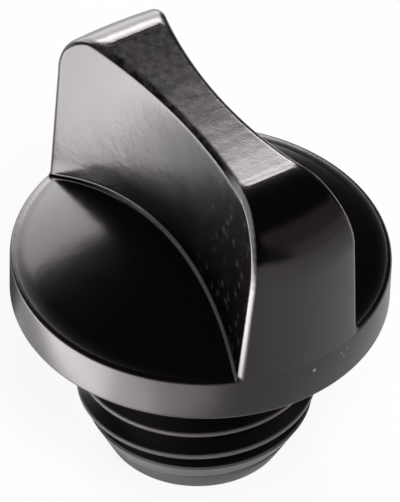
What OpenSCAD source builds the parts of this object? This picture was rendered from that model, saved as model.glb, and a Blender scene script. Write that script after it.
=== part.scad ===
/* [Cap] */
// Diameter of the cap across its rim
cap_d = 31; // [29:0.5:34]
// Height of the rim's side
rim_h = 4.2; // [3.4:0.1:6]
// Rise of the low dome above the rim's upper edge
dome_rise = 3.2; // [2.4:0.1:4]
// Radius on the rim's edges
rim_edge_r = 0.4; // [0.2:0.05:0.6]

/* [Grip] */
// Height of the grip above the rim's upper edge, at its middle
grip_h = 14.9; // [12:0.1:18]
// Thickness of the grip's top at its middle
grip_top_w = 4.2; // [3.4:0.1:6]
// Length of the grip's top between its shoulders
grip_top_l = 19.6; // [17:0.1:21]
// How far the top sinks from its shoulders to its middle
saddle_drop = 0.35; // [0.1:0.05:0.8]
// Radius, seen from above, of the hollow in each side of the grip
waist_r = 45; // [36:1:90]
// Lean of the grip's sides
side_draft = 5; // [2:0.5:7]
// Radius on the grip's upright and shoulder edges
grip_corner_r = 0.6; // [0.35:0.05:0.7]
// Radius on the long edges of the grip's top
grip_top_edge_r = 0.45; // [0.1:0.05:0.5]
// Radius of the round where the grip's sides meet the dome
grip_foot_r = 0.35; // [0.2:0.05:0.5]

/* [Stub] */
// Length of the threaded stub below the cap
stub_l = 15.4; // [14:0.1:22]
// Height of the plain collar above the thread
collar_h = 1.2; // [1:0.1:2]
// How far the neck lies inside the collar, on the radius
neck_step = 1.2; // [0.8:0.1:1.4]
// Diameter of the nose's flat end
nose_d = 14.9; // [14.2:0.1:16]
// Lean of the tapered nose from the axis
nose_taper = 26.5; // [24:0.5:40]
// Radius on the edge of the nose's flat end
nose_edge_r = 0.4; // [0.2:0.05:0.6]

/* [Thread] */
// Nominal diameter of the thread, and diameter of the collar
thread_nominal_d = 20; // [18:0.5:21]
// How much the thread's crests are under the nominal diameter
crest_allowance = 0.1; // [0.06:0.02:0.3]
// Distance from one turn to the next
pitch = 2.5; // [1.5:0.25:2.5]

/* [Seal] */
// Thickness of the seal ring's round section
seal_section_d = 2.4; // [1.8:0.1:2.6]
// Depth of the seal's seat in the cap's underside
seal_seat_depth = 1; // [0.6:0.1:1.4]
// Gap between the seal ring and the walls it lies against
seal_clearance = 0.02; // [0.02:0.01:0.1]
// Free height on the neck below the seal ring
seal_play = 0.68; // [0.3:0.02:1]
// Room in the seat outside the seal ring, for the squeezed ring
seal_spread = 1; // [0.5:0.1:1.2]

/* [Core] */
// Diameter of the recess in the nose, at its mouth
core_d = 11.6; // [8:0.1:12]
// Depth of the recess
core_depth = 14.5; // [6:0.1:16]
// Lean of the recess's wall from the axis
core_draft = 1; // [0.5:0.25:2]
// Chamfer at the recess's mouth
core_chamfer = 0.4; // [0.2:0.05:0.5]
// Radius at the recess's blind end
core_end_r = 1.2; // [0.5:0.1:2]

/* [Hidden] */
$fn = 96;
// Facets of the large sphere that the dome is cut from
dome_fn = 240;
// Depth to which one shape is sunk in another, or a cutter reaches past a face
sink = 1;

// Cap
cap_r = cap_d / 2;
rim_top = stub_l + rim_h;
// Flat ledge between the rim's upper round and the dome's foot
dome_ledge = 0.3;
dome_base_r = cap_r - rim_edge_r - dome_ledge;
dome_r = (pow(dome_base_r, 2) + pow(dome_rise, 2)) / (2 * dome_rise);
// The dome reaches this far past its foot before it is cut off, just under the ledge
dome_skirt = 0.1;
// Straight steps in a quarter round
edge_steps = 4;

// Grip, in heights above the rim's upper edge
end_h = grip_h + saddle_drop;
shoulder_r = cap_r - grip_top_l / 2;
shoulder_h = end_h - shoulder_r;
// The grip's ends stand this far inside the rim's side
end_gap = 0.02;
// How far the ends' curve, seen from above, is flattened at the top of the shoulders
end_flatten = 0.85;
// Turns of the shoulders' round at which the grip has a ring of points
shoulder_turns = [0, 15, 30, 45, 58, 68, 75, 80, 85, 90];
// Turns of the foot's round at which the grip has a ring of points
foot_turns = [25, 50, 90];
// The foot's round is carried this far under the cap's skin
foot_sink = 0.06;
// Steps along half of an end, round a corner and along half of a side
end_steps = 3;
corner_steps = 5;
side_steps = 9;

// Stub
thread_r = (thread_nominal_d - crest_allowance) / 2;
// Depth and crest width of the standard thread form, as parts of the pitch
thread_depth = 0.6134 * pitch;
crest_w = pitch / 8;
flank_w = thread_depth * tan(30);
root_r = thread_r - thread_depth;
// The ridge's foot lies this far inside the core it winds round
root_sink = 0.3;
thread_steps = 36;
collar_r = thread_nominal_d / 2;
neck_r = collar_r - neck_step;
neck_l = seal_section_d + seal_clearance + seal_play - seal_seat_depth;
collar_bottom = stub_l - neck_l - collar_h;
// The ridge starts this high inside the collar, which sets where it runs out
thread_lead = 1.415;
thread_start = collar_bottom + thread_lead;
// The tapered nose is carried this far past the crests
nose_margin = 0.5;
nose_end_r = nose_d / 2 - nose_edge_r * tan((90 - nose_taper) / 2);
nose_top_r = thread_r + nose_margin;
nose_top = (nose_top_r - nose_d / 2) / tan(nose_taper);

// Seal
seal_r = seal_section_d / 2;
seal_ring_r = neck_r + seal_clearance + seal_r;
seal_z = stub_l + seal_seat_depth - seal_clearance - seal_r;
seat_r = seal_ring_r + seal_r + seal_spread;

// Core
core_end_wall_r = core_d / 2 - (core_depth - core_end_r) * tan(core_draft);

// Points of an arc about c, from angle a0 to angle a1
function arc(c, r, a0, a1) =
    [for (i = [0:edge_steps])
        let (a = a0 + (a1 - a0) * i / edge_steps)
        c + r * [cos(a), sin(a)]];

// Half width of the grip at distance u along it and height z, and its slope along u
function half_w(u, z) =
    grip_top_w / 2 + waist_r - sqrt(pow(waist_r, 2) - pow(u, 2)) + (grip_h - z) * tan(side_draft);
function side_slope(u) = u / sqrt(pow(waist_r, 2) - pow(u, 2));

// Reach of the grip's end at distance v across it and shoulder turn t, and its slope across v
function end_bulge(t) = 1 - end_flatten * sin(t);
function end_reach(v, t) =
    cap_r - end_gap - shoulder_r * (1 - cos(t))
    - end_bulge(t) * (cap_r - sqrt(pow(cap_r, 2) - pow(v, 2)));
function end_slope(v, t) = end_bulge(t) * v / sqrt(pow(cap_r, 2) - pow(v, 2));

// Height of the cap's skin above the rim's upper edge, at distance r from the axis
function skin(r) =
    let (over = min(r - (cap_r - rim_edge_r), rim_edge_r))
    r < dome_base_r ? dome_rise - dome_r + sqrt(pow(dome_r, 2) - pow(r, 2))
    : over <= 0 ? 0
    : sqrt(pow(rim_edge_r, 2) - pow(over, 2)) - rim_edge_r;

// A row of the grip is [shoulder turn, share of the cap's skin that it follows, height above that,
// how far its sides stand out]. Rows of the foot follow the skin, rows of the shoulders are level.
function foot_spread(a) = grip_foot_r * (1 - sin(a));
function foot_height(a) = grip_foot_r * (1 - cos(a));
function foot_row(a) = [0, 1, foot_height(a), foot_spread(a)];
function skirt_row(depth) =
    let (a = foot_turns[0])
    [0, 1, -depth, foot_spread(a) + (foot_height(a) + foot_sink) / tan(a)];
function top_inset(t) =
    let (depth = shoulder_r * (1 - sin(t)))
    depth > grip_top_edge_r ? 0
    : grip_top_edge_r - sqrt(pow(grip_top_edge_r, 2) - pow(grip_top_edge_r - depth, 2));
function shoulder_row(t) = [t, 0, shoulder_h + shoulder_r * sin(t), -top_inset(t)];
function height(row, p) = row[1] * skin(norm(p)) + row[2];
function saddle(u, t) = saddle_drop * pow(sin(t), 4) * max(0, 1 - pow(2 * u / grip_top_l, 2));

// Centre of the corner's round, which touches both the end and the side, found in n passes
function corner_centre(row, c, n) =
    n == 0 ? c
    : corner_centre(row, [
        end_reach(c[1], row[0]) - grip_corner_r * sqrt(1 + pow(end_slope(c[1], row[0]), 2)),
        half_w(c[0], height(row, c)) + row[3] - grip_corner_r * sqrt(1 + pow(side_slope(c[0]), 2))
    ], n - 1);

// Point of a side at distance p[0] along the grip, found in n passes
function side_point(row, p, n) =
    n == 0 ? p : side_point(row, [p[0], half_w(p[0], height(row, p)) + row[3]], n - 1);

// Outline of a quarter of the grip, from the middle of its end to the middle of its side
function quarter(row) =
    let (c = corner_centre(row, [grip_top_l / 2, grip_top_w / 2], 6))
    let (end_turn = atan(end_slope(c[1], row[0])))
    let (side_turn = atan(side_slope(c[0])))
    let (v_end = c[1] + grip_corner_r * sin(end_turn))
    let (u_side = c[0] - grip_corner_r * sin(side_turn))
    concat(
        [for (i = [0:end_steps - 1])
            let (v = v_end * i / end_steps)
            [end_reach(v, row[0]), v]],
        [for (i = [0:corner_steps])
            let (a = end_turn + (90 + side_turn - end_turn) * i / corner_steps)
            c + grip_corner_r * [cos(a), sin(a)]],
        [for (i = [1:side_steps])
            side_point(row, [u_side * (1 - i / side_steps), c[1]], 3)]
    );

// The quarter mirrored all round, each point with its height, the saddle's sink taken off
function ring(row) =
    let (q = quarter(row))
    let (m = len(q))
    [for (p = concat(
        q,
        [for (i = [m - 2:-1:0]) [-q[i][0], q[i][1]]],
        [for (i = [1:m - 1]) [-q[i][0], -q[i][1]]],
        [for (i = [m - 2:-1:1]) [q[i][0], -q[i][1]]]
    )) [p[0], p[1], height(row, p) - saddle(p[0], row[0])]];

// Faces of a stack of rings of n points, and a flat strip across the first or last ring
function wall_faces(rings, n) =
    [for (j = [0:rings - 2]) for (k = [0:n - 1])
        [j * n + k, (j + 1) * n + k, (j + 1) * n + (k + 1) % n, j * n + (k + 1) % n]];
function strip_faces(n) =
    concat(
        [[0, 1, n - 1]],
        [for (k = [1:n / 2 - 2]) [k, k + 1, n - k - 1, n - k]],
        [[n / 2 - 1, n / 2, n / 2 + 1]]
    );
function turned_over(face, first) = [for (i = [len(face) - 1:-1:0]) first + face[i]];

module grip() {
    rings = concat(
        [ring(skirt_row(sink)), ring(skirt_row(foot_sink))],
        [for (a = foot_turns) ring(foot_row(a))],
        [for (t = shoulder_turns) ring(shoulder_row(t))]
    );
    n = len(rings[0]);
    top = (len(rings) - 1) * n;
    translate([0, 0, rim_top])
        polyhedron(
            points = [for (r = rings) for (p = r) p],
            faces = concat(
                wall_faces(len(rings), n),
                strip_faces(n),
                [for (face = strip_faces(n)) turned_over(face, top)]
            ),
            convexity = 6
        );
}

module rim() {
    translate([0, 0, stub_l])
        rotate_extrude()
            polygon(concat(
                [[0, 0]],
                arc([cap_r - rim_edge_r, rim_edge_r], rim_edge_r, -90, 0),
                arc([cap_r - rim_edge_r, rim_h - rim_edge_r], rim_edge_r, 0, 90),
                [[0, rim_h]]
            ));
}

module dome() {
    intersection() {
        translate([0, 0, rim_top + dome_rise - dome_r])
            sphere(r = dome_r, $fn = dome_fn);
        translate([0, 0, rim_top - sink])
            cylinder(r = dome_base_r + dome_skirt, h = dome_rise + 2 * sink);
    }
}

module seal_seat() {
    translate([0, 0, stub_l - sink])
        cylinder(r = seat_r, h = seal_seat_depth + sink);
}

module thread_ridge() {
    steps = ceil(thread_start / pitch * thread_steps);
    foot_w = crest_w + 2 * flank_w * (thread_depth + root_sink) / thread_depth;
    section = [
        [root_r - root_sink, -foot_w / 2],
        [thread_r, -crest_w / 2],
        [thread_r, crest_w / 2],
        [root_r - root_sink, foot_w / 2]
    ];
    corners = len(section);
    polyhedron(
        points = [for (i = [0:steps]) for (p = section)
            let (a = -360 * i / thread_steps)
            [p[0] * cos(a), p[0] * sin(a), thread_start - pitch * i / thread_steps + p[1]]],
        faces = concat(
            [[for (k = [0:corners - 1]) k]],
            [for (i = [0:steps - 1]) for (k = [0:corners - 1])
                let (next = (k + 1) % corners)
                [i * corners + next, i * corners + k, (i + 1) * corners + k, (i + 1) * corners + next]],
            [[for (k = [corners - 1:-1:0]) steps * corners + k]]
        ),
        convexity = 10
    );
}

// Everything below the collar lies inside this outline, which ends in the tapered nose
module stub_envelope() {
    rotate_extrude()
        polygon(concat(
            [[0, 0]],
            arc([nose_end_r, nose_edge_r], nose_edge_r, -90, -nose_taper),
            [
                [nose_top_r, nose_top],
                [nose_top_r, collar_bottom + collar_h / 2],
                [0, collar_bottom + collar_h / 2]
            ]
        ));
}

module stub() {
    intersection() {
        union() {
            translate([0, 0, -sink])
                cylinder(r = root_r, h = collar_bottom + collar_h + sink);
            thread_ridge();
        }
        stub_envelope();
    }
    translate([0, 0, collar_bottom])
        cylinder(r = collar_r, h = collar_h);
    translate([0, 0, collar_bottom + collar_h / 4])
        cylinder(r = neck_r, h = collar_h * 3 / 4 + neck_l + seal_seat_depth + sink);
}

module core() {
    rotate_extrude()
        polygon(concat(
            [
                [0, -sink],
                [core_d / 2 + core_chamfer + sink, -sink],
                [core_d / 2, core_chamfer]
            ],
            arc([core_end_wall_r - core_end_r, core_depth - core_end_r], core_end_r, core_draft, 90),
            [[0, core_depth]]
        ));
}

module plug() {
    color("#1c1c1e")
        difference() {
            union() {
                grip();
                dome();
                difference() {
                    rim();
                    seal_seat();
                }
                stub();
            }
            core();
        }
}

module seal_ring() {
    color("#0f0f10")
        translate([0, 0, seal_z])
            rotate_extrude()
                translate([seal_ring_r, 0])
                    circle(r = seal_r);
}

plug();
seal_ring();
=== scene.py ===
# %% [markdown]
# # Oil level plug
#
# A black moulded plug with a waisted wing grip, a low domed cap, a threaded stub and a seal ring.
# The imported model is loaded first. It says where everything is, so each piece made here is drawn
# in the same frame: the nose stands on the floor, the thread's axis is Z and the grip lies along X.

import math

import bmesh
import bpy
from mathutils import Matrix, Vector


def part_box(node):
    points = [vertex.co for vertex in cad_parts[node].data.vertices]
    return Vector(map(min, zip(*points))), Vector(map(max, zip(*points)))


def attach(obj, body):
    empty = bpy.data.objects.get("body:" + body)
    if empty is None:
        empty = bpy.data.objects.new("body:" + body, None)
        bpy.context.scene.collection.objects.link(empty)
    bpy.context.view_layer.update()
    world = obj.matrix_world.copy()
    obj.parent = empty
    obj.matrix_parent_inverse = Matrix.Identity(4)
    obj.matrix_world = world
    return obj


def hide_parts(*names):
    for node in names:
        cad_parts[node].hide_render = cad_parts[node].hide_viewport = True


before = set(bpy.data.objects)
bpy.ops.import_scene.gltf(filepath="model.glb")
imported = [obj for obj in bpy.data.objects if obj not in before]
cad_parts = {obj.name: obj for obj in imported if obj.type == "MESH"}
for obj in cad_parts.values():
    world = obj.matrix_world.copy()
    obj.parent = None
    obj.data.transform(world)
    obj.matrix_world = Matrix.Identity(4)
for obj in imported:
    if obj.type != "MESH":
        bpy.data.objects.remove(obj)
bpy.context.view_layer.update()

# %% [markdown]
# ## Sizes
#
# A part this small is easier to model in millimetres, because merging and cutting tools have fixed
# tolerances that suit sizes of about 1 to 100 units. Each finished mesh is brought to metres by one
# last resize. The sizes are those of the part's source. The cap's radius and the grip's height come
# from the frame. Only the two shoulders differ a little: the source rounds both ends alike, and the
# photograph shows the far one a bit tighter and the near one a bit wider, so each has its own arc.

# %% Sizes of the plug, in millimetres
MM = 0.001
plug_low, plug_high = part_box("plug")

CAP_R = min(plug_high.x, plug_high.y, -plug_low.x, -plug_low.y) / MM
STUB_L = 15.4
RIM_H = 4.2
RIM_TOP = STUB_L + RIM_H
RIM_EDGE_R = 0.4
DOME_RISE = 3.2
DOME_LEDGE = 0.3
RIM_ROUND_R = CAP_R - RIM_EDGE_R
DOME_BASE_R = RIM_ROUND_R - DOME_LEDGE
DOME_R = (DOME_BASE_R ** 2 + DOME_RISE ** 2) / (2 * DOME_RISE)

SADDLE_DROP = 0.35
GRIP_H = plug_high.z / MM - RIM_TOP - SADDLE_DROP
GRIP_TOP_W = 4.2
GRIP_TOP_L = 19.6
WAIST_R = 45
SIDE_LEAN = math.tan(math.radians(5))
GRIP_CORNER_R = 0.6
GRIP_TOP_EDGE_R = 0.45
END_FLATTEN = 0.85
SHOULDER_R = CAP_R - GRIP_TOP_L / 2
NEAR_SHOULDER_R = SHOULDER_R + 0.3
FAR_SHOULDER_R = SHOULDER_R - 0.9

COLLAR_R = 10
COLLAR_H = 1.2
NECK_R = COLLAR_R - 1.2
THREAD_R = COLLAR_R - 0.05
PITCH = 2.5
THREAD_DEPTH = 0.6134 * PITCH
ROOT_R = THREAD_R - THREAD_DEPTH
CREST_W = PITCH / 8

SEAL_D = 2.4
SEAT_DEPTH = 1
SEAL_CLEARANCE = 0.02
SEAL_PLAY = 0.68
SEAL_SPREAD = 1
SEAL_RING_R = NECK_R + SEAL_CLEARANCE + SEAL_D / 2
SEAL_Z = STUB_L + SEAT_DEPTH - SEAL_CLEARANCE - SEAL_D / 2
SEAT_R = SEAL_RING_R + SEAL_D / 2 + SEAL_SPREAD
NECK_L = SEAL_D + SEAL_CLEARANCE + SEAL_PLAY - SEAT_DEPTH
COLLAR_BOTTOM = STUB_L - NECK_L - COLLAR_H
THREAD_START = COLLAR_BOTTOM + 1.415

NOSE_R = 7.45
NOSE_ANGLE = 26.5
NOSE_LEAN = math.tan(math.radians(NOSE_ANGLE))
NOSE_EDGE_R = 0.4

CORE_R = 5.8
CORE_DEPTH = 14.5
CORE_ANGLE = 1
CORE_LEAN = math.tan(math.radians(CORE_ANGLE))
CORE_CHAMFER = 0.4
CORE_END_R = 1.2
print("cap radius", round(CAP_R, 3), "rim top", RIM_TOP, "dome radius", round(DOME_R, 2))

# %% [markdown]
# ## The camera
#
# The photograph looks down on the plug from about 43 degrees with a long lens. The grip runs from
# far on the left to near on the right, so the camera stands about 56 degrees round from the front.
# Its place, roll and lens were found by matching the outlines of the cap, the grip and the thread,
# and the numbers below are that match, so that a render lies over the photograph.

# %% Camera
CAMERA_AZIMUTH = math.radians(56.13)
CAMERA_ELEVATION = math.radians(42.57)
CAMERA_ROLL = math.radians(1.82)
CAMERA_DISTANCE = 500
CAMERA_SLIDE = (0.082, 0.063)
FOCAL_PIXELS = 6173
PHOTO_HEIGHT = 502
SENSOR = 36

sin_a, cos_a = math.sin(CAMERA_AZIMUTH), math.cos(CAMERA_AZIMUTH)
sin_e, cos_e = math.sin(CAMERA_ELEVATION), math.cos(CAMERA_ELEVATION)
level_right = Vector((cos_a, sin_a, 0))
forward = Vector((-sin_a * cos_e, cos_a * cos_e, -sin_e))
level_up = level_right.cross(forward)
cos_r, sin_r = math.cos(CAMERA_ROLL), math.sin(CAMERA_ROLL)
right = cos_r * level_right + sin_r * level_up
up = cos_r * level_up - sin_r * level_right
eye = (Vector((0, 0, RIM_TOP)) - CAMERA_SLIDE[0] * right - CAMERA_SLIDE[1] * up
       - CAMERA_DISTANCE * forward) * MM

camera_data = bpy.data.cameras.new("camera")
camera_data.sensor_width = SENSOR
camera_data.lens = FOCAL_PIXELS * SENSOR / PHOTO_HEIGHT
camera_data.clip_start = 0.05
camera_data.clip_end = 5
camera = bpy.data.objects.new("camera", camera_data)
bpy.context.scene.collection.objects.link(camera)
turn = Matrix((right, up, -forward)).transposed().to_4x4()
camera.matrix_world = Matrix.Translation(eye) @ turn
bpy.context.scene.camera = camera
print("camera at", [round(c, 3) for c in eye], "lens", round(camera_data.lens, 1))

# %% [markdown]
# ## Working by hand in code
#
# Blender's operators act on whatever is selected, and loading the model leaves its nodes selected.
# So each piece starts by deselecting everything. The helpers here open and close edit mode, put a
# new piece's place into its mesh, close a mesh up, apply modifiers and count open edges, because a
# closed mesh is what joining and cutting need.

# %% Helpers for edit mode
MERGE_REACH = 1e-4


def clear_selection():
    if bpy.context.object and bpy.context.object.mode != "OBJECT":
        bpy.ops.object.mode_set(mode="OBJECT")
    bpy.ops.object.select_all(action="DESELECT")


def only(piece):
    clear_selection()
    piece.select_set(True)
    bpy.context.view_layer.objects.active = piece


def edit(piece):
    only(piece)
    bpy.ops.object.mode_set(mode="EDIT")


def done():
    bpy.ops.object.mode_set(mode="OBJECT")


def named(name):
    """The piece that was just added, under its name, with its place in its mesh."""
    piece = bpy.context.active_object
    piece.name = name
    piece.data.name = name
    bpy.ops.object.transform_apply(location=True, rotation=True, scale=True)
    return piece


def close_up(piece, reach=MERGE_REACH):
    """Points that lie on each other become one, and all faces are turned outwards."""
    edit(piece)
    bpy.ops.mesh.select_all(action="SELECT")
    bpy.ops.mesh.remove_doubles(threshold=reach)
    bpy.ops.mesh.dissolve_degenerate(threshold=reach)
    bpy.ops.mesh.select_all(action="SELECT")
    bpy.ops.mesh.normals_make_consistent(inside=False)
    done()


def apply_modifier(piece, kind, **settings):
    only(piece)
    modifier = piece.modifiers.new(kind.lower(), kind)
    for key, value in settings.items():
        setattr(modifier, key, value)
    bpy.ops.object.modifier_apply(modifier=modifier.name)


def combine(piece, tool, operation):
    """Joins a tool piece to another, or cuts with it, and the tool is used up."""
    apply_modifier(piece, "BOOLEAN", object=tool, operation=operation, solver="EXACT")
    bpy.data.objects.remove(tool, do_unlink=True)


def open_edges(piece):
    """How many edges don't have a face on both sides, and the volume."""
    mesh = bmesh.new()
    mesh.from_mesh(piece.data)
    count = sum(1 for e in mesh.edges if len(e.link_faces) != 2)
    volume = mesh.calc_volume(signed=True)
    mesh.free()
    return count, round(volume, 1)


# %% [markdown]
# ## Turned forms
#
# The cap, the neck, the collar and the stub are round, like work from a lathe. A lathe form can be
# made with the screw tool, or by pulling one disc along its outline. The second way is used here:
# a disc is extruded from point to point, and after each pull it is resized to the next radius. It
# keeps even quads all round and closes both ends. The outline starts at the blind end of the core,
# goes down inside the stub, round the nose and up the outside to the top of the dome, so the one
# skin is both the outside and the inside of the moulding.

# %% Turn a form from an outline
TURN_SIDES = 256


def arc(centre, radius, start, end, steps):
    """Points of a round, from one angle to another in degrees."""
    angles = [math.radians(start + (end - start) * i / steps) for i in range(steps + 1)]
    return [(centre[0] + radius * math.cos(a), centre[1] + radius * math.sin(a)) for a in angles]


def turned(name, outline):
    """A closed form of revolution through (radius, height) points, by extruding a disc."""
    clear_selection()
    radius, height = outline[0]
    bpy.ops.mesh.primitive_circle_add(
        vertices=TURN_SIDES, radius=radius, fill_type="NGON", location=(0, 0, height))
    piece = named(name)
    edit(piece)
    bpy.ops.mesh.select_all(action="SELECT")
    for next_radius, next_height in outline[1:]:
        bpy.ops.mesh.extrude_region_move(
            TRANSFORM_OT_translate={"value": (0, 0, next_height - height)})
        grow = next_radius / radius
        bpy.ops.transform.resize(value=(grow, grow, 1), center_override=(0, 0, next_height))
        radius, height = next_radius, next_height
    done()
    close_up(piece)
    return piece


# %% Turn the cap and stub
TIP_R = 0.01
ROUND_STEPS = 8
DOME_RINGS = 20
EDGE_BREAK = 0.12


def dome_height(radius):
    """Height of the cap's skin above the rim's upper edge, over the dome and the rim's round."""
    if radius < DOME_BASE_R:
        return DOME_RISE - DOME_R + math.sqrt(DOME_R ** 2 - radius ** 2)
    over = radius - RIM_ROUND_R
    if over <= 0:
        return 0
    return math.sqrt(max(RIM_EDGE_R ** 2 - over ** 2, 0)) - RIM_EDGE_R


core_end_r = CORE_R - (CORE_DEPTH - CORE_END_R) * CORE_LEAN - CORE_END_R
nose_round_r = NOSE_R - NOSE_EDGE_R * math.tan(math.radians((90 - NOSE_ANGLE) / 2))
nose_top = (ROOT_R - NOSE_R) / NOSE_LEAN
collar_top = COLLAR_BOTTOM + COLLAR_H
seat_top = STUB_L + SEAT_DEPTH

outline = [(TIP_R, CORE_DEPTH)]
outline += arc((core_end_r, CORE_DEPTH - CORE_END_R), CORE_END_R, 90, CORE_ANGLE, ROUND_STEPS)
outline += [(CORE_R, CORE_CHAMFER), (CORE_R + CORE_CHAMFER, 0)]
outline += arc((nose_round_r, NOSE_EDGE_R), NOSE_EDGE_R, -90, -NOSE_ANGLE, ROUND_STEPS)
outline += [(ROOT_R, nose_top), (ROOT_R, COLLAR_BOTTOM)]
outline += [(COLLAR_R - EDGE_BREAK, COLLAR_BOTTOM), (COLLAR_R, COLLAR_BOTTOM + EDGE_BREAK)]
outline += [(COLLAR_R, collar_top - EDGE_BREAK), (COLLAR_R - EDGE_BREAK, collar_top)]
outline += [(NECK_R, collar_top), (NECK_R, seat_top), (SEAT_R, seat_top)]
outline += [(SEAT_R, STUB_L + EDGE_BREAK), (SEAT_R + EDGE_BREAK, STUB_L)]
outline += arc((RIM_ROUND_R, STUB_L + RIM_EDGE_R), RIM_EDGE_R, -90, 0, ROUND_STEPS)
outline += arc((RIM_ROUND_R, RIM_TOP - RIM_EDGE_R), RIM_EDGE_R, 0, 90, ROUND_STEPS)
for i in range(DOME_RINGS):
    dome_r = DOME_BASE_R * (1 - i / DOME_RINGS)
    outline.append((dome_r, RIM_TOP + dome_height(dome_r)))
outline.append((TIP_R, RIM_TOP + DOME_RISE))

plug = turned("plug_moulding", outline)
print("turned form", len(plug.data.polygons), "faces, open edges and volume", open_edges(plug))

# %% [markdown]
# ## The thread
#
# A thread is one ridge wound round a core. It could be a coiled curve with a section of its own, but
# a curve may twist its section, and the screw modifier keeps it upright: a flat section of the ridge
# is drawn beside the axis and carried down along a helix, one pitch a turn. The crest's two corners
# get a small round first, as a mould gives. The ridge's foot is sunk in the core. A tapered form
# trims the ridge at the nose, where the thread fades out, and at the top it runs out inside the
# collar.

# %% Wind the thread's ridge
THREAD_SIDES = 128
ROOT_SINK = 0.3
CREST_ROUND = 0.06
FLANK_LEAN = math.tan(math.radians(30))

clear_selection()
foot_w = CREST_W + 2 * (THREAD_DEPTH + ROOT_SINK) * FLANK_LEAN
bpy.ops.mesh.primitive_plane_add(size=1, rotation=(math.pi / 2, 0, 0))
ridge = named("ridge")
for vertex in ridge.data.vertices:
    outer = vertex.co.x > 0
    width = CREST_W if outer else foot_w
    vertex.co.x = THREAD_R if outer else ROOT_R - ROOT_SINK
    vertex.co.z = THREAD_START + math.copysign(width / 2, vertex.co.z)
edit(ridge)
bpy.ops.mesh.select_mode(type="VERT")
bpy.ops.mesh.select_all(action="DESELECT")
done()
for vertex in ridge.data.vertices:
    vertex.select = vertex.co.x > ROOT_R
edit(ridge)
bpy.ops.mesh.bevel(offset=CREST_ROUND, segments=3, affect="VERTICES")
bpy.ops.mesh.select_all(action="SELECT")
bpy.ops.mesh.delete(type="ONLY_FACE")
done()
turns = THREAD_START / PITCH
steps = round(turns * THREAD_SIDES)
apply_modifier(ridge, "SCREW", axis="Z", angle=-2 * math.pi * turns, screw_offset=-THREAD_START,
               steps=steps, render_steps=steps, use_smooth_shade=False)
edit(ridge)
bpy.ops.mesh.select_all(action="SELECT")
bpy.ops.mesh.fill_holes(sides=0)
done()
close_up(ridge)
print("ridge", len(ridge.data.polygons), "faces, open edges and volume", open_edges(ridge))

# %% Trim the ridge and join it to the stub
TRIM_GAP = 0.01
TRIM_LIFT = 0.05
TRIM_REACH = 0.5
trim_top = COLLAR_BOTTOM + COLLAR_H / 2
trim_r = THREAD_R + TRIM_REACH
trim_foot_r = NOSE_R - TRIM_GAP
trim = turned("trim", [
    (TIP_R, TRIM_LIFT),
    (trim_foot_r + TRIM_LIFT * NOSE_LEAN, TRIM_LIFT),
    (trim_r, (trim_r - trim_foot_r) / NOSE_LEAN),
    (trim_r, trim_top),
    (TIP_R, trim_top),
])
combine(ridge, trim, "INTERSECT")
combine(plug, ridge, "UNION")
print("with its thread", len(plug.data.polygons), "faces, open edges and volume", open_edges(plug))

# %% [markdown]
# ## The grip
#
# The grip is a wing across the cap: hollow sides that lean in a little, a top with a slight saddle,
# rounded shoulders, and ends that run down flush into the rim. No single block shows all of that,
# so it is made like paper wrapped round a form. A flat sheet of squares is rolled round the grip's
# outline, row by row from the foot to the top. The last rows close along the middle line, and a
# merge closes the seam. The foot flares out in a small round where it meets the dome.

# %% Outline of the grip
END_STEPS = 6
CORNER_STEPS = 8
SIDE_STEPS = 24
END_GAP = 0.004
CORNER_PASSES = 8
SIDE_PASSES = 4


def half_width(u, z, widen):
    """From the middle line out to the hollow side, u along the grip and z above the rim."""
    hollow = WAIST_R - math.sqrt(WAIST_R ** 2 - u ** 2)
    return GRIP_TOP_W / 2 + hollow + (GRIP_H - z) * SIDE_LEAN + widen


def side_slope(u):
    return u / math.sqrt(WAIST_R ** 2 - u ** 2)


def shoulder_r(u):
    """The shoulders' radius: the far one's up to its crease, the near one's from the other."""
    share = min(max(0.5 + u / GRIP_TOP_L, 0), 1)
    return FAR_SHOULDER_R + (NEAR_SHOULDER_R - FAR_SHOULDER_R) * share


def shoulder_level(u, sine):
    """Height above the rim's upper edge at one turn of the shoulders' arc."""
    return GRIP_H + SADDLE_DROP - shoulder_r(u) * (1 - sine)


def end_reach(end, v, sine, cosine):
    """From the axis out to an end, which follows the rim's round and then the shoulder's arc."""
    bulge = CAP_R - math.sqrt(CAP_R ** 2 - v ** 2)
    radius = shoulder_r(end * GRIP_TOP_L)
    return CAP_R - END_GAP - radius * (1 - cosine) - (1 - END_FLATTEN * sine) * bulge


def end_slope(v, sine):
    return (1 - END_FLATTEN * sine) * v / math.sqrt(CAP_R ** 2 - v ** 2)


def top_inset(u, sine):
    """How far the round along the top's long edges has drawn in at one turn of the arc."""
    left = GRIP_TOP_EDGE_R - shoulder_r(u) * (1 - sine)
    if left < 0:
        return 0
    return GRIP_TOP_EDGE_R - math.sqrt(GRIP_TOP_EDGE_R ** 2 - left ** 2)


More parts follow.
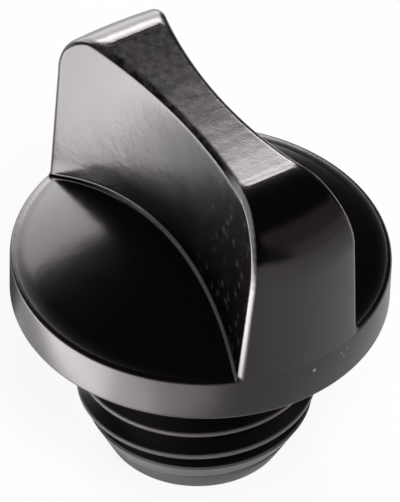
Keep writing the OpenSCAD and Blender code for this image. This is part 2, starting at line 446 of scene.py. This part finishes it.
def quarter(end, turn_angle, height, widen):
    """A quarter of the grip's outline, from the middle of an end to the middle of a side."""
    sine, cosine = math.sin(turn_angle), math.cos(turn_angle)

    def side(u, v):
        return half_width(u, height(end * u, v), widen) - top_inset(end * u, sine)

    # The corner's centre depends on the end and the side, and they on it, so passes close in on it.
    u, v = GRIP_TOP_L / 2, GRIP_TOP_W / 2
    for _ in range(CORNER_PASSES):
        u, v = (
            end_reach(end, v, sine, cosine)
            - GRIP_CORNER_R * math.sqrt(1 + end_slope(v, sine) ** 2),
            side(u, v) - GRIP_CORNER_R * math.sqrt(1 + side_slope(u) ** 2),
        )
    end_turn, side_turn = math.atan(end_slope(v, sine)), math.atan(side_slope(u))
    v_end = v + GRIP_CORNER_R * math.sin(end_turn)
    u_side = u - GRIP_CORNER_R * math.sin(side_turn)
    points = [(end_reach(end, v_end * i / END_STEPS, sine, cosine), v_end * i / END_STEPS)
              for i in range(END_STEPS)]
    for i in range(CORNER_STEPS + 1):
        a = end_turn + (math.pi / 2 + side_turn - end_turn) * i / CORNER_STEPS
        points.append((u + GRIP_CORNER_R * math.cos(a), v + GRIP_CORNER_R * math.sin(a)))
    for i in range(1, SIDE_STEPS + 1):
        u_i = u_side * (1 - i / SIDE_STEPS)
        v_i = v
        for _ in range(SIDE_PASSES):
            v_i = side(u_i, v_i)
        points.append((u_i, v_i))
    return points


def whole_ring(turn_angle, height, widen=0):
    """Four quarters all round, each point with its height above the rim's upper edge."""
    near = quarter(1, turn_angle, height, widen)
    far = quarter(-1, turn_angle, height, widen)
    flat = near + [(-u, v) for u, v in far[-2::-1]]
    flat += [(u, -v) for u, v in flat[-2:0:-1]]
    sine, cosine = math.sin(turn_angle), math.cos(turn_angle)
    near_end = CAP_R - NEAR_SHOULDER_R * (1 - cosine)
    far_end = FAR_SHOULDER_R * (1 - cosine) - CAP_R
    middle, half = (near_end + far_end) / 2, (near_end - far_end) / 2
    ring = []
    for u, v in flat:
        sink = SADDLE_DROP * sine ** 4 * max(0, 1 - ((u - middle) / half) ** 2)
        ring.append((u, v, height(u, v) - sink))
    return ring


# %% Rows of the sheet, from the foot to the top
FOOT_R = 0.35
FOOT_TURNS = (14, 30, 50, 70, 90)
SKIRT_SINK = 0.06
FOOT_SINK = 0.8
WALL_ROWS = 6
SHOULDER_TURNS = (0, 8, 16, 24, 32, 40, 48, 55, 61, 66, 70, 73, 76, 79, 82, 85, 87.5, 90)
TOP_SHARES = (0.9, 0.6, 0.3, 0)


def over_dome(rise):
    return lambda u, v: dome_height(math.hypot(u, v)) + rise


def up_the_wall(share):
    """Heights on the way from the foot, which follows the dome, up to where the arcs start."""
    def height(u, v):
        low = dome_height(math.hypot(u, v)) + FOOT_R
        return low * (1 - share) + shoulder_level(u, 0) * share
    return height


def squeezed(ring, share):
    return [(u, v * share, z) for u, v, z in ring]


def foot_widen(turn_angle):
    return FOOT_R * (1 - math.sin(turn_angle))


def foot_rise(turn_angle):
    return FOOT_R * (1 - math.cos(turn_angle))


first = math.radians(FOOT_TURNS[0])
skirt_widen = foot_widen(first) + (foot_rise(first) + SKIRT_SINK) / math.tan(first)
skirt = whole_ring(0, over_dome(-SKIRT_SINK), skirt_widen)
foot = [(u, v, z - FOOT_SINK) for u, v, z in skirt]
rows = [squeezed(foot, 0), foot, skirt]
for degrees in FOOT_TURNS:
    a = math.radians(degrees)
    rows.append(whole_ring(0, over_dome(foot_rise(a)), foot_widen(a)))
rows += [whole_ring(0, up_the_wall(i / WALL_ROWS)) for i in range(1, WALL_ROWS)]
for degrees in SHOULDER_TURNS:
    a = math.radians(degrees)
    rows.append(whole_ring(a, lambda u, v, sine=math.sin(a): shoulder_level(u, sine)))
top = rows[-1]
rows += [squeezed(top, share) for share in TOP_SHARES]
print("grip rows", len(rows), "of", len(top), "points")

# %% Wrap the sheet round the grip
SEAM_REACH = 1e-5
clear_selection()
around, upward = len(top), len(rows) - 1
bpy.ops.mesh.primitive_grid_add(x_subdivisions=around, y_subdivisions=upward, size=1)
grip = named("grip")
for vertex in grip.data.vertices:
    column = round((vertex.co.x + 0.5) * around) % around
    row = round((vertex.co.y + 0.5) * upward)
    u, v, z = rows[row][column]
    vertex.co = (u, v, RIM_TOP + z)
close_up(grip, SEAM_REACH)
print("grip", len(grip.data.polygons), "faces, open edges and volume", open_edges(grip))

# %% Join the grip to the cap
combine(plug, grip, "UNION")
close_up(plug)
print("whole moulding", len(plug.data.polygons), "faces, open edges and volume", open_edges(plug))

# %% [markdown]
# ## Smooth and crisp
#
# A moulding's faces are smooth and its edges crisp. Edges could be marked by hand, but smoothing by
# angle finds them all: every edge sharper than 30 degrees stays crisp. Only the two creases where
# the saddled top meets the rounded shoulders are marked. They turn by only a few degrees, but on
# glossy plastic the light changes there at once.

# %% Shade the moulding and bring it to metres
SMOOTH_ANGLE = math.radians(30)
CREASE_REACH = 0.002
CREASE_DEPTH = 0.01


def mark_creases(piece):
    """Marks the edges sharp where the saddled top meets the round of each shoulder."""
    top_z = RIM_TOP + GRIP_H + SADDLE_DROP
    only(piece)
    for vertex in piece.data.vertices:
        end = math.copysign(1, vertex.co.x)
        off_line = abs(vertex.co.x) - end_reach(end, vertex.co.y, 1, 0)
        vertex.select = abs(off_line) < CREASE_REACH and vertex.co.z > top_z - CREASE_DEPTH
    for edge in piece.data.edges:
        edge.select = all(piece.data.vertices[i].select for i in edge.vertices)
    for face in piece.data.polygons:
        face.select = False
    bpy.ops.object.mode_set(mode="EDIT")
    bpy.ops.mesh.select_mode(type="EDGE")
    bpy.ops.mesh.mark_sharp()
    done()
    print("sharp edges", sum(edge.use_edge_sharp for edge in piece.data.edges))


def finish_mesh(piece):
    """Brings a finished mesh from millimetres to metres and smooths its shading."""
    edit(piece)
    bpy.ops.mesh.select_all(action="SELECT")
    bpy.ops.transform.resize(value=(MM, MM, MM), center_override=(0, 0, 0))
    done()
    only(piece)
    bpy.ops.object.shade_smooth_by_angle(angle=SMOOTH_ANGLE, keep_sharp_edges=True)


mark_creases(plug)
finish_mesh(plug)

# %% [markdown]
# ## The seal ring
#
# The ring lies round the neck, under the cap. It is a moulded rubber ring with a fine flash line
# inside and outside, where the two halves of its mould met. A circle could be spun round the axis,
# but a torus is just that shape, so one is added at its size. The two loops of points on the line
# where the halves met are then moved out by the height of the flash.

# %% Seal ring
FLASH = 0.03
LINE_REACH = 1e-4
clear_selection()
bpy.ops.mesh.primitive_torus_add(
    major_segments=192, minor_segments=40, location=(0, 0, SEAL_Z),
    major_radius=SEAL_RING_R, minor_radius=SEAL_D / 2 - FLASH)
seal = named("seal_ring_rubber")
for vertex in seal.data.vertices:
    if abs(vertex.co.z - SEAL_Z) < LINE_REACH:
        radius = math.hypot(vertex.co.x, vertex.co.y)
        stretch = 1 + math.copysign(FLASH, radius - SEAL_RING_R) / radius
        vertex.co.x *= stretch
        vertex.co.y *= stretch
print("seal ring", len(seal.data.polygons), "faces, open edges and volume", open_edges(seal))
finish_mesh(seal)

# %% [markdown]
# ## Materials
#
# Shader maths reads best as plain arithmetic. A small class wraps a node's socket, so that
# 0.3 + 0.1 * noise adds the Math nodes by itself.


# %% Shader maths
class Flow:
    """A value on its way through a material. Plain arithmetic on it adds the nodes."""

    def __init__(self, tree, socket=None):
        self.tree = tree
        self.socket = socket

    def node(self, kind, settings=None, inputs=None, output=0):
        """Any node, with its settings first and then the values or links of its sockets."""
        node = self.tree.nodes.new(kind)
        for key, value in (settings or {}).items():
            setattr(node, key, value)
        for key, value in (inputs or {}).items():
            if isinstance(value, Flow):
                self.tree.links.new(value.socket, node.inputs[key])
            else:
                node.inputs[key].default_value = value
        return Flow(self.tree, node.outputs[output]) if len(node.outputs) else node

    def maths(self, operation, first, second=0.0):
        settings = {"operation": operation}
        return self.node("ShaderNodeMath", settings, {0: first, 1: second})

    def __add__(self, other):
        return self.maths("ADD", self, other)

    def __radd__(self, other):
        return self.maths("ADD", other, self)

    def __sub__(self, other):
        return self.maths("SUBTRACT", self, other)

    def __rsub__(self, other):
        return self.maths("SUBTRACT", other, self)

    def __mul__(self, other):
        return self.maths("MULTIPLY", self, other)

    def __rmul__(self, other):
        return self.maths("MULTIPLY", other, self)

    def size(self):
        """The value without its sign."""
        return self.maths("ABSOLUTE", self)

    def larger(self, other):
        """The larger of two values."""
        return self.maths("MAXIMUM", self, other)

    def root(self):
        """The square root, with nothing below zero under it."""
        return self.maths("SQRT", self.larger(0.0))

    def axis(self, name):
        """One coordinate of a place, in millimetres."""
        return self.node("ShaderNodeSeparateXYZ", None, {"Vector": self}, name) * (1 / MM)

    def other(self, output):
        """Another output of the node that this value comes from."""
        return Flow(self.tree, self.socket.node.outputs[output])

    def blend(self, first, second):
        """A colour that goes from first to second as the value goes from 0 to 1."""
        # A Mix node has sockets for each kind of value. Its colours go in at 6 and 7 and out at 2.
        inputs = {0: self, 6: first, 7: second}
        return self.node("ShaderNodeMix", {"data_type": "RGBA"}, inputs, 2)

    def between(self, low, high):
        """0 below low, 1 above high and a smooth rise from one to the other."""
        inputs = {"Value": self, "From Min": low, "From Max": high}
        return self.node("ShaderNodeMapRange", {"interpolation_type": "SMOOTHSTEP"}, inputs)

    def noise(self, size, detail, roughness=0.55):
        """Soft noise over a place, in marks of about this many millimetres."""
        inputs = {"Vector": self, "Scale": 1 / (size * MM), "Detail": detail, "Roughness": roughness}
        return self.node("ShaderNodeTexNoise", None, inputs, "Fac")


def new_material(name):
    """A bare material, and the flow that adds its nodes."""
    material = bpy.data.materials.new(name)
    material.use_nodes = True
    material.node_tree.nodes.clear()
    return material, Flow(material.node_tree)


def show(flow, shader):
    flow.node("ShaderNodeOutputMaterial", None, {"Surface": shader})


# %% [markdown]
# ### Black moulded plastic
#
# The plug is moulded in black plastic that shows dust, and some of its marks are painted light:
# painted highlights on the grip's upright edges, the thread's crests and partly the foot's round,
# and a painted reflection on the nose. The marks could be painted on an image, but the masks here
# are worked out from the place on the part and from the same sizes as the mesh, so they stay sharp
# and follow the shape. A point is placed by its distance from the axis, above the dome, below the
# grip's top, and out past the grip's side and end. The pairs of numbers in these cells are the two
# values between which a mask rises or falls, in millimetres or in a texture's own values. A band has
# two pairs.

# %% Where a point lies on the plug
GRIP_START = (0.3, 0.6)
NEAR_HALF = (-5, 5)

plastic, flow = new_material("moulded_plastic")
place = flow.node("ShaderNodeTexCoord", None, None, "Object")
x, y, height = place.axis("X"), place.axis("Y"), place.axis("Z")
z = height - RIM_TOP
from_axis = (x * x + y * y).root()
above_dome = z - DOME_RISE * (1 - from_axis * from_axis * (1 / DOME_BASE_R ** 2))
on_grip = above_dome.between(*GRIP_START)

near_end = x.between(*NEAR_HALF)
arc_r = FAR_SHOULDER_R + (NEAR_SHOULDER_R - FAR_SHOULDER_R) * near_end
hollow = WAIST_R - (WAIST_R ** 2 - x * x).root()
past_side = y.size() - (GRIP_TOP_W / 2 + hollow + (GRIP_H - z) * SIDE_LEAN)
rise = (z - (GRIP_H + SADDLE_DROP) + arc_r).larger(0.0)
bulge = y * y * (1 - rise * (END_FLATTEN / SHOULDER_R)) * (0.5 / CAP_R)
along = (x.size() - CAP_R + arc_r + bulge).larger(0.0)
past_end = (along * along + rise * rise).root() - arc_r
below_top = (GRIP_H + SADDLE_DROP) - z - SADDLE_DROP * (1 - x * x * (4 / GRIP_TOP_L ** 2))
to_right = x * cos_a + y * sin_a
print("place on the plug", len(plastic.node_tree.nodes), "nodes")

# %% [markdown]
# ### Grain and unevenness
#
# The mould was spark-eroded, so the skin has a very fine grain that breaks up reflections, over a
# faint unevenness. The grip is grainier than the dome, and calmer towards its near end. Grain could
# be real dents in the mesh, but it is far finer than the faces, so it is bump. Depths and sizes are
# in millimetres.

# %% Grain and unevenness
GRAIN_SIZE, GRAIN_DEPTH = 0.16, 0.004
RIPPLE_SIZE, RIPPLE_DEPTH = 0.7, 0.008
MOTTLE_SIZE, MOTTLE_DEPTH = 2.5, 0.02
DOME_SHARE = 0.2
NEAR_CALM = 0.85

grain = place.noise(GRAIN_SIZE, 2.0)
ripple = place.noise(RIPPLE_SIZE, 2.0)
mottle = place.noise(MOTTLE_SIZE, 3.0)
fine = grain * GRAIN_DEPTH + ripple * RIPPLE_DEPTH * (1 - NEAR_CALM * near_end)
fine = fine * (DOME_SHARE + (1 - DOME_SHARE) * on_grip)
relief = fine + mottle * MOTTLE_DEPTH
bump = flow.node("ShaderNodeBump", None, {"Strength": 1.0, "Distance": MM, "Height": relief})

# %% [markdown]
# ### Dust, pale specks and painted light
#
# Pale specks lie on the near half of the grip and dust lies in a thin film on its top away from the
# near end. A pale line lies in the round at its foot, partly dust and partly a painted highlight,
# and the nose is painted paler, a painted reflection that is stronger at the left. Specks could be
# small pieces strewn over the grip, but one cell texture gives a speck in each cell, and the ripple
# makes some strong and some faint.

# %% Dust, pale specks, and painted highlight and painted reflection on the grip and nose
SPECK_GAP = 1.1
SPECK_EDGE = (0.1, 0.4)
SPECK_PATCHES = (0.25, 0.55)
SPECK_NEAR = (0, 10)
SPECK_END = (-1.2, -0.6)
TOP_DUST_SIZE = 0.6
TOP_DUST_PATCHES = (0.3, 0.75)
TOP_DUST_DEPTH = (0, 0.4)
TOP_DUST_END = (0, 6)
FOOT_LINE = (-0.03, 0.03, 0.13, 0.24)
FOOT_LINE_TOP = (0.35, 0.45)
FOOT_LINE_LEVEL = (-0.3, 0)
FOOT_LINE_FAR = (-11, -4)
FOOT_LINE_LEAST = 0.5
NOSE_LIGHT_DEPTH = (0.2, 0.3)
NOSE_LIGHT_TOP = (4.5, 4.9)
NOSE_LIGHT_RIGHT = (-6, 3)
NOSE_LIGHT_FADE = 0.55


def band(value, start, full, fade, end):
    """A mask that rises from start to full and falls again from fade to end."""
    return value.between(start, full) * (1 - value.between(fade, end))


cells = {"Vector": place, "Scale": 1 / (SPECK_GAP * MM)}
off_speck = flow.node("ShaderNodeTexVoronoi", None, cells, "Distance")
speck = (1 - off_speck.between(*SPECK_EDGE)) * ripple.between(*SPECK_PATCHES)
speck = speck * on_grip * x.between(*SPECK_NEAR) * (1 - past_end.between(*SPECK_END))
top_dust = place.noise(TOP_DUST_SIZE, 3.0).between(*TOP_DUST_PATCHES) * on_grip
top_dust = top_dust * (1 - below_top.between(*TOP_DUST_DEPTH)) * (1 - x.between(*TOP_DUST_END))
# The pale line in the round at the grip's foot is partly dust and partly a painted highlight.
foot_line = band(past_side, *FOOT_LINE) * (1 - above_dome.between(*FOOT_LINE_TOP))
foot_line = foot_line * z.between(*FOOT_LINE_LEVEL) * x.between(*FOOT_LINE_FAR)
foot_line = foot_line * (FOOT_LINE_LEAST + ripple)
# The nose is painted paler here as a painted reflection, stronger at the left.
off_nose = from_axis - NOSE_R - height * NOSE_LEAN
nose_painted_light = (1 - off_nose.size().between(*NOSE_LIGHT_DEPTH)) * (1 - height.between(*NOSE_LIGHT_TOP))
nose_painted_light = nose_painted_light * (1 - NOSE_LIGHT_FADE * to_right.between(*NOSE_LIGHT_RIGHT))
print("with dust", len(plastic.node_tree.nodes), "nodes")

# %% [markdown]
# ### Painted highlights on edges and crests, and pale spots
#
# The grip's upright edges are painted pale, a painted highlight that is strongest on the one
# towards the camera and fades up the shoulders, and the near half of the top's long edges is a
# little paler. The thread's crests are painted paler too, a painted highlight, and the end face has
# a few small pale spots. The pale edges could follow the mesh's own sharpness, but here each edge is
# known by its place, which lets one edge be paler than the next.

# %% Painted highlights on edges and crests, and pale spots
CORNER_START = (-0.5, -0.36)
CAMERA_SIDE = (-1, 1)
OTHER_CORNERS = 0.08
SHOULDER_START = (-0.3, 2)
SHOULDER_FADE = 0.72
TOP_EDGE_BAND = (0.2, 0.45, 0.45, 0.9)
TOP_EDGE_START = (-0.3, -0.1)
TOP_EDGE_FAR = (-2, 6)
TOP_EDGE_SHARE = 0.11
CREST_START, CREST_FULL = 0.16, 0.06
COLLAR_FADE = 0.1
PALE_SPOT, PALE_SPOT_R = (15.47, 0.85, 18.38), 0.2
SMALL_PALE_SPOTS = ((14.97, 4.05, 18.0), (15.02, 3.75, 18.45), (14.85, 4.4, 18.6))
SMALL_PALE_SPOT_R, SMALL_PALE_SPOT_SHARE = 0.15, 0.5
SPOT_CORE = 0.6
PALE_SPOT_SHARE = 0.4


def spot(centre, radius):
    """A small round mark. Its centre is in millimetres, with its height above the nose's end."""
    settings, inputs = {"operation": "DISTANCE"}, {0: place, 1: [c * MM for c in centre]}
    distance = flow.node("ShaderNodeVectorMath", settings, inputs, "Value") * (1 / MM)
    return 1 - distance.between(SPOT_CORE * radius, radius)


# The grip's upright edges are painted pale here as a painted highlight, strongest towards the
# camera.
towards_camera = near_end * (1 - y.between(*CAMERA_SIDE))
corner = (past_side + past_end).between(*CORNER_START) * on_grip
corner = corner * (OTHER_CORNERS + (1 - OTHER_CORNERS) * towards_camera)
corner = corner * (1 - SHOULDER_FADE * rise.between(*SHOULDER_START))
top_edge = band(below_top, *TOP_EDGE_BAND) * past_side.between(*TOP_EDGE_START)
top_edge = top_edge * on_grip * x.between(*TOP_EDGE_FAR)
# A few small pale spots on the end face.
pale_spots = spot(PALE_SPOT, PALE_SPOT_R)
for centre in SMALL_PALE_SPOTS:
    pale_spots = pale_spots.larger(SMALL_PALE_SPOT_SHARE * spot(centre, SMALL_PALE_SPOT_R))
pale_edges_and_spots = corner.larger(TOP_EDGE_SHARE * top_edge).larger(PALE_SPOT_SHARE * pale_spots)
# The thread's crests are painted paler here as a painted highlight.
crest = from_axis.between(THREAD_R - CREST_START, THREAD_R - CREST_FULL)
crest = crest * (1 - height.between(COLLAR_BOTTOM - COLLAR_FADE, COLLAR_BOTTOM))

# %% [markdown]
# ### Colour and gloss
#
# The plastic is almost black, and nearly all that is seen of it is reflection. Dust, pale spots and
# the painted highlights and painted reflection could be materials of their own, mixed in at the end.
# Here they are only colours, laid over the black one after the other, each through its own mask,
# because they share its gloss. From the rim's side down the plastic is a little duller than the
# dome, and the painted highlights on the upright edges are duller still.

# %% Plastic
BLACK = (0.002, 0.0014, 0.0015, 1)
SPECK_GREY = (0.03, 0.027, 0.027, 1)
TOP_DUST = (0.038, 0.034, 0.033, 1)
# The foot line's colour is partly dust and partly a painted highlight.
FOOT_DUST_AND_HIGHLIGHT = (0.075, 0.075, 0.073, 1)
# The crests' paler colour is a painted highlight.
CREST_HIGHLIGHT_GREY = (0.09, 0.085, 0.085, 1)
# The nose's pale colour is a painted reflection.
NOSE_PAINTED_LIGHT = (0.19, 0.182, 0.182, 1)
# The pale grey of the upright edges is a painted highlight; the top's long edges and the end face's
# spots share it.
EDGE_HIGHLIGHT_AND_SPOT_GREY = (0.52, 0.51, 0.5, 1)
REFLECTION_TINT = (1.0, 0.9, 0.91, 1)
RIM_LEVEL = (-0.5, 0.5)
ROUGH, RIM_ROUGH, CORNER_ROUGH = 0.15, 0.14, 0.3
MOTTLE_ROUGH, GRAIN_ROUGH = 0.05, 0.03

colour = speck.blend(BLACK, SPECK_GREY)
for mask, over in ((top_dust, TOP_DUST), (foot_line, FOOT_DUST_AND_HIGHLIGHT), (crest, CREST_HIGHLIGHT_GREY),
                   (nose_painted_light, NOSE_PAINTED_LIGHT), (pale_edges_and_spots, EDGE_HIGHLIGHT_AND_SPOT_GREY)):
    colour = mask.blend(colour, over)
on_rim = 1 - z.between(*RIM_LEVEL)
roughness = ROUGH + MOTTLE_ROUGH * mottle + GRAIN_ROUGH * grain
roughness = roughness + RIM_ROUGH * on_rim + CORNER_ROUGH * corner
surface = flow.node("ShaderNodeBsdfPrincipled", None, {
    "Base Color": colour,
    "Roughness": roughness,
    "Specular Tint": REFLECTION_TINT,
    "Normal": bump,
})
show(flow, surface)
print("plastic", len(plastic.node_tree.nodes), "nodes")

# %% [markdown]
# ### Seal rubber
#
# The ring is soft black rubber, duller than the plastic, with a light bloom on it. It hardly shows
# under the cap, so one noise is enough, both for the uneven gloss and for a very shallow bump.

# %% Rubber
BLOOM_SIZE, BLOOM_DEPTH = 0.6, 0.01
RUBBER_BLACK = (0.01, 0.01, 0.01, 1)
RUBBER_ROUGH, BLOOM_ROUGH = 0.45, 0.2

rubber, flow = new_material("seal_rubber")
place = flow.node("ShaderNodeTexCoord", None, None, "Object")
bloom = place.noise(BLOOM_SIZE, 4.0, 0.6)
bump = flow.node("ShaderNodeBump", None, {
    "Strength": 0.2, "Distance": BLOOM_DEPTH * MM, "Height": bloom})
surface = flow.node("ShaderNodeBsdfPrincipled", None, {
    "Base Color": RUBBER_BLACK,
    "Roughness": RUBBER_ROUGH + BLOOM_ROUGH * bloom,
    "Normal": bump,
})
show(flow, surface)
print("rubber", len(rubber.node_tree.nodes), "nodes")

# %% [markdown]
# ## Dress the pieces
#
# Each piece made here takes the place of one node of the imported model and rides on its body. The
# plug turns as one, so both ride on the root.

# %% Dress the pieces
for piece, material, node, slot in (
    (plug, plastic, "plug", "moulding"),
    (seal, rubber, "seal_ring", "seal"),
):
    piece.data.materials.clear()
    piece.data.materials.append(material)
    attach(piece, "root")
    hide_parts(node)
    print(piece.name, "takes the place of", node)

# %% [markdown]
# ## Floor and light
#
# A black glossy part is drawn by what it reflects. The floor and the far backdrop are white to the
# camera, keep the plug's shadow, and stay dim in reflections. The bright shapes on the plug could
# come from a painted surrounding, but large soft lamps can be moved one at a time. Two lamps and a
# floor panel behind it light the top and the dome's far side, two faintly warm ones at the right
# fill the end face, and one high in front lights the dust and the painted highlights and painted
# reflection in the plastic's colour. That last one is hidden from reflections, as a lamp beside the
# camera would leave a spot on the dome. Where lamps overlap, they stand at different distances,
# because in a reflection only those add up.

# %% Floor
FLOOR_SIZE = 3
WHITE = (1, 1, 1, 1)
FLOOR_WHITE = (0.8, 0.8, 0.8, 1)
CAMERA_LIFT = 0.9
MIRROR_LIFT = 0.2
clear_selection()
bpy.ops.mesh.primitive_plane_add(size=FLOOR_SIZE)
floor = named("floor")
white, flow = new_material("floor_white")
rays = flow.node("ShaderNodeLightPath", None, None, "Is Camera Ray")
mirrored = rays.other("Is Glossy Ray").larger(rays.other("Is Transmission Ray"))
lift = rays * CAMERA_LIFT + mirrored * MIRROR_LIFT
matt = flow.node("ShaderNodeBsdfDiffuse", None, {"Color": FLOOR_WHITE})
glow = flow.node("ShaderNodeEmission", None, {"Color": WHITE, "Strength": 1.0})
show(flow, flow.node("ShaderNodeMixShader", None, {"Fac": lift, 1: matt, 2: glow}))
floor.data.materials.append(white)

# %% World
SKY_SEEN, SKY_LIGHT = 1.0, 0.005

world = bpy.data.worlds.new("studio")
bpy.context.scene.world = world
world.use_nodes = True
world.node_tree.nodes.clear()
flow = Flow(world.node_tree)
rays = flow.node("ShaderNodeLightPath", None, None, "Is Camera Ray")
dim = flow.node("ShaderNodeBackground", None, {"Color": WHITE, "Strength": SKY_LIGHT})
bright = flow.node("ShaderNodeBackground", None, {"Color": WHITE, "Strength": SKY_SEEN})
mixed = flow.node("ShaderNodeMixShader", None, {"Fac": rays, 1: dim, 2: bright})
flow.node("ShaderNodeOutputWorld", None, {"Surface": mixed})

# %% Lamps
LAMP_DISTANCE = 600
LAMP_GAP = 20
PANEL_Z = 0.5
PANEL_STEP = 0.3
WARM = (1, 0.92, 0.89)
vertical = Vector((0, 0, 1))
away = Vector((-sin_a, cos_a, 0))


def soft_lamp(name, place, facing, side, width, height, radiance):
    """A soft rectangular lamp, with its place and size in millimetres and the direction of its
    width given by side. Radiance is how bright its face looks."""
    data = bpy.data.lights.new(name, "AREA")
    data.shape = "RECTANGLE"
    data.size, data.size_y = width * MM, height * MM
    data.energy = radiance * data.size * data.size_y * math.pi
    lamp = bpy.data.objects.new(name, data)
    bpy.context.scene.collection.objects.link(lamp)
    facing_axes = Matrix((side, (-facing).cross(side), -facing)).transposed().to_4x4()
    lamp.matrix_world = Matrix.Translation(place * MM) @ facing_axes
    lamp.visible_camera = False
    return lamp


def softbox(name, azimuth, elevation, width, height, radiance, distance=LAMP_DISTANCE):
    """A lamp that faces the cap. Azimuth is measured from straight behind the plug, as seen from
    the camera, to the right, and elevation from the floor."""
    a, e = math.radians(azimuth), math.radians(elevation)
    flat = away * math.cos(a) + level_right * math.sin(a)
    toward = flat * math.cos(e) + vertical * math.sin(e)
    place = vertical * RIM_TOP + toward * distance
    side = vertical.cross(toward).normalized()
    return soft_lamp(name, place, -toward, side, width, height, radiance)


def floor_panel(name, centre, swing, width, depth, radiance, height=PANEL_Z):
    """A lamp that lies on the floor and shines upwards. Its centre is measured to the right and
    away from the camera, and its swing clockwise as seen from above."""
    a = math.radians(swing)
    place = level_right * centre[0] + away * centre[1] + vertical * height
    side = level_right * math.cos(a) - away * math.sin(a)
    return soft_lamp(name, place, vertical, side, width, depth, radiance)


softbox("back_softbox", azimuth=-22, elevation=14, width=520, height=550, radiance=4.5)
softbox("back_core", azimuth=-6, elevation=31.5, width=200, height=155, radiance=12,
        distance=LAMP_DISTANCE + LAMP_GAP)
for name, elevation, tall in (("right_fill", 22, 500), ("right_low_fill", 5, 230)):
    fill = softbox(name, azimuth=101, elevation=elevation, width=600, height=tall, radiance=0.335)
    fill.data.color = WARM
front = softbox("front_softbox", azimuth=165, elevation=58, width=200, height=200, radiance=26)
front.visible_glossy = False
floor_panel("back_panel", centre=(-40, 280), swing=0, width=320, depth=240, radiance=0.9)
print("lamps", len(bpy.data.lights))

# %% [markdown]
# ### Light from the left
#
# The grip's broad side and the rim are lit from the left, evenly at first and then fading to the
# right in soft steps. Both look down at the floor, so the light is a stack of glowing panels that
# lie there. One big panel would give one hard step. Here three reach less and less far to the right,
# a fourth strengthens the stretch before the steps, a fifth lights a strip beyond their far edge,
# and each lies a little above the last, so that their light adds up.

# %% Stepped panels on the left
LEFT_SWING = 35
LEFT_ORIGIN = (-54, -25.5)
cos_l, sin_l = math.cos(math.radians(LEFT_SWING)), math.sin(math.radians(LEFT_SWING))
for i, (left_edge, right_edge, near_edge, far_edge, radiance) in enumerate((
    (-60, 57, -31, 28, 2.7),
    (-60, 38, -31, 28.5, 2.5),
    (-60, 26, -31, 28.5, 3),
    (2, 26, -31, 28.5, 1.7),
    (-60, 0, 24, 37, 1.3),
)):
    along_side = (left_edge + right_edge) / 2
    along_depth = (near_edge + far_edge) / 2
    centre = (LEFT_ORIGIN[0] + along_side * cos_l + along_depth * sin_l,
              LEFT_ORIGIN[1] - along_side * sin_l + along_depth * cos_l)
    floor_panel(f"left_panel_{i}", centre, LEFT_SWING, right_edge - left_edge,
                far_edge - near_edge, radiance, PANEL_Z + i * PANEL_STEP)
print("lamps with the panels", len(bpy.data.lights))

# %% [markdown]
# ### A dark card
#
# Studios keep a glossy thing's edge from washing out with a black card just out of the picture. This
# one lies on the floor at the left, where only reflections see it, and darkens the rim's far left.

# %% Dark card
CARD_PLACE = Vector((-25, 17, 0.3))
CARD_SIZE = (24, 14)
CARD_BLACK = (0.02, 0.02, 0.02, 1)

clear_selection()
bpy.ops.mesh.primitive_plane_add(size=1)
card = named("dark_card")
sized = Matrix.Diagonal((CARD_SIZE[0] * MM, CARD_SIZE[1] * MM, 1, 1))
to_camera = Matrix.Rotation(CAMERA_AZIMUTH, 4, "Z")
card.data.transform(to_camera @ Matrix.Translation(CARD_PLACE * MM) @ sized)
card.visible_camera = card.visible_diffuse = card.visible_shadow = False
black, flow = new_material("card_black")
show(flow, flow.node("ShaderNodeBsdfDiffuse", None, {"Color": CARD_BLACK}))
card.data.materials.append(black)

# %% Finish: the view transform
scene = bpy.context.scene
scene.view_settings.view_transform = "Standard"
